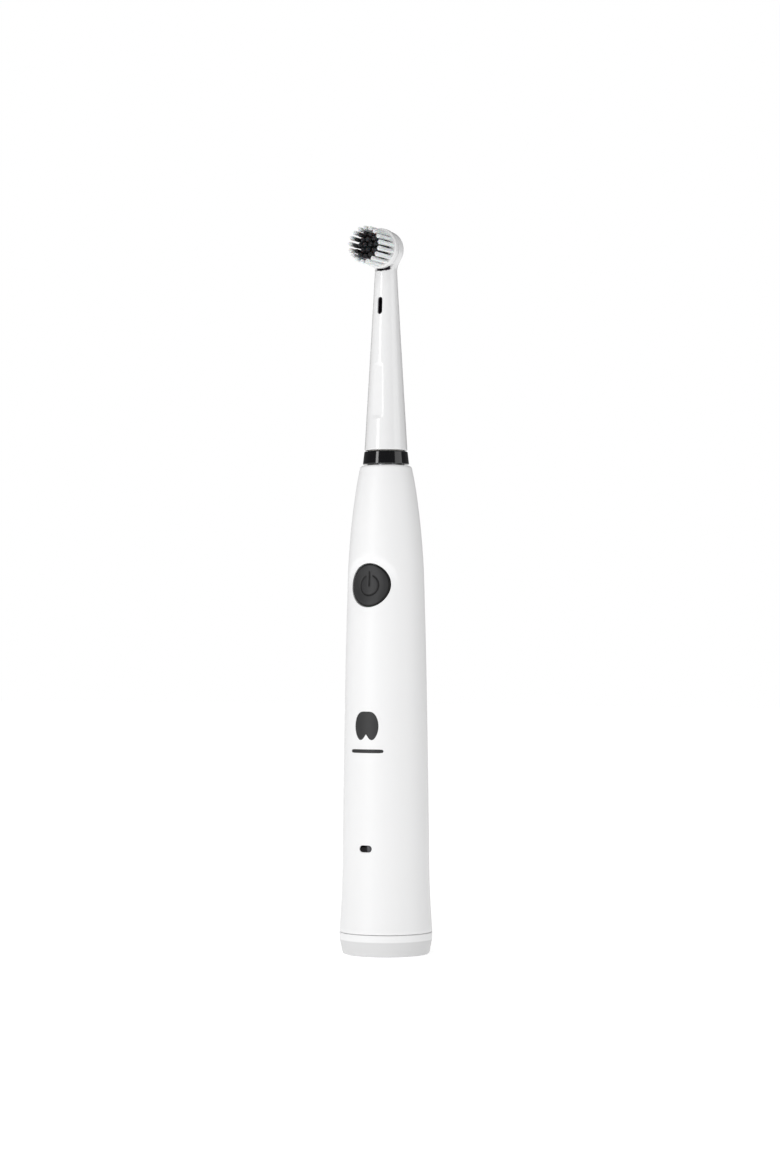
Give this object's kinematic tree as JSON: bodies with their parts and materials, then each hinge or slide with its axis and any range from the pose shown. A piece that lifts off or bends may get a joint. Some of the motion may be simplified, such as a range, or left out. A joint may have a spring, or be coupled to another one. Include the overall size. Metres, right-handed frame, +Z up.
{
  "type": "electric toothbrush",
  "caption": "Rechargeable toothbrush: tapered round handle with a push button, and a pull-off brush head whose round bristle disc rocks from side to side.",
  "frame": {"origin": "middle of the flat foot of the base cap, on the handle's axis", "axes": "+Z up the handle towards the brush head, -Y towards the front, where the button and the bristles are"},
  "size_m": [0.0308, 0.0308, 0.241],
  "materials": {
    "casing_white": "glossy moulded plastic",
    "base_white": "satin moulded plastic",
    "stem_white": "glossy, slightly translucent plastic",
    "ring_black": "gloss",
    "window_black": "gloss, smoked",
    "button_charcoal": "satin soft-touch",
    "rubber_black": "matt",
    "copper_wire": "wound enamelled wire",
    "steel": "bright drawn",
    "brass": "turned",
    "acetal": "natural moulded",
    "frame_grey": "moulded",
    "rod_plum": "moulded",
    "board_green": "solder mask",
    "chip_black": "moulded",
    "cell_wrap": "shrink-wrapped can",
    "magnet": "sintered",
    "bristle_white": "nylon filament",
    "bristle_dark": "nylon filament"
  },
  "bodies": {
    "handle": {"handle_shell": "casing_white", "base_cap": "base_white", "base_seal": "rubber_black", "coil_bobbin": "acetal", "charging_coil": "copper_wire", "chassis": "frame_grey", "battery_cell": "cell_wrap", "contact_spring": "steel", "contact_plate": "brass", "circuit_board": "board_green", "tact_switch": "chip_black", "control_chip": "chip_black", "smoothing_capacitor": "steel", "indicator_led": "acetal", "indicator_window": "window_black", "motor_can": "steel", "motor_end_cap": "acetal", "ring_magnet": "magnet", "gear_axle": "steel", "bearing_bracket": "frame_grey", "bracket_screw_left": "steel", "bracket_screw_right": "steel", "lower_bush": "brass", "upper_bush": "brass", "nose_sleeve": "steel", "shaft_seal": "rubber_black"},
    "button": {"power_button": "button_charcoal"},
    "rotor": {"rotor_core": "steel", "commutator": "copper_wire", "motor_shaft": "steel", "motor_pinion": "brass"},
    "gear": {"drive_gear": "acetal"},
    "drive": {"drive_shaft": "steel", "drive_lever": "acetal"},
    "brush_head": {"brush_stem": "stem_white", "stem_insert": "acetal", "id_ring": "ring_black", "disc_axle": "steel"},
    "rod": {"drive_rod": "rod_plum"},
    "disc": {"bristle_disc": "stem_white", "white_tufts": "bristle_white", "dark_tufts": "bristle_dark"}
  },
  "joints": [
    {"name": "button_press", "type": "slide", "parent": "handle", "child": "button", "axis": [0, 1, 0], "range_m": [0, 0.0005], "stiffness_N_per_m": 2000},
    {"name": "motor_spin", "type": "hinge", "parent": "handle", "child": "rotor", "pos_m": [0, 0.0003, 0.12], "axis": [0, 0, 1], "continuous": true},
    {"name": "gear_spin", "type": "hinge", "parent": "handle", "child": "gear", "pos_m": [0, -0.0053, 0.1331], "axis": [0, 0, 1], "continuous": true},
    {"name": "drive_swing", "type": "hinge", "parent": "handle", "child": "drive", "pos_m": [0, 0, 0.16], "axis": [0, 0, 1], "range_deg": [-22, 22]},
    {"name": "head_pull_off", "type": "slide", "parent": "handle", "child": "brush_head", "axis": [0, 0, 1], "range_m": [0, 0.03]},
    {"name": "rod_swing", "type": "hinge", "parent": "brush_head", "child": "rod", "pos_m": [0, 0, 0.2], "axis": [0, 0, 1], "range_deg": [-22, 22]},
    {"name": "disc_rock", "type": "hinge", "parent": "brush_head", "child": "disc", "pos_m": [0, -0.0045, 0.2343], "axis": [0, -1, 0], "range_deg": [-21.3, 21.3]}
  ],
  "couplings": [
    {"joint": "gear_spin", "follows": "motor_spin", "ratio": -0.4},
    {"joint": "rod_swing", "follows": "drive_swing", "ratio": 1},
    {"joint": "disc_rock", "follows": "drive_swing", "ratio": 0.96}
  ]
}
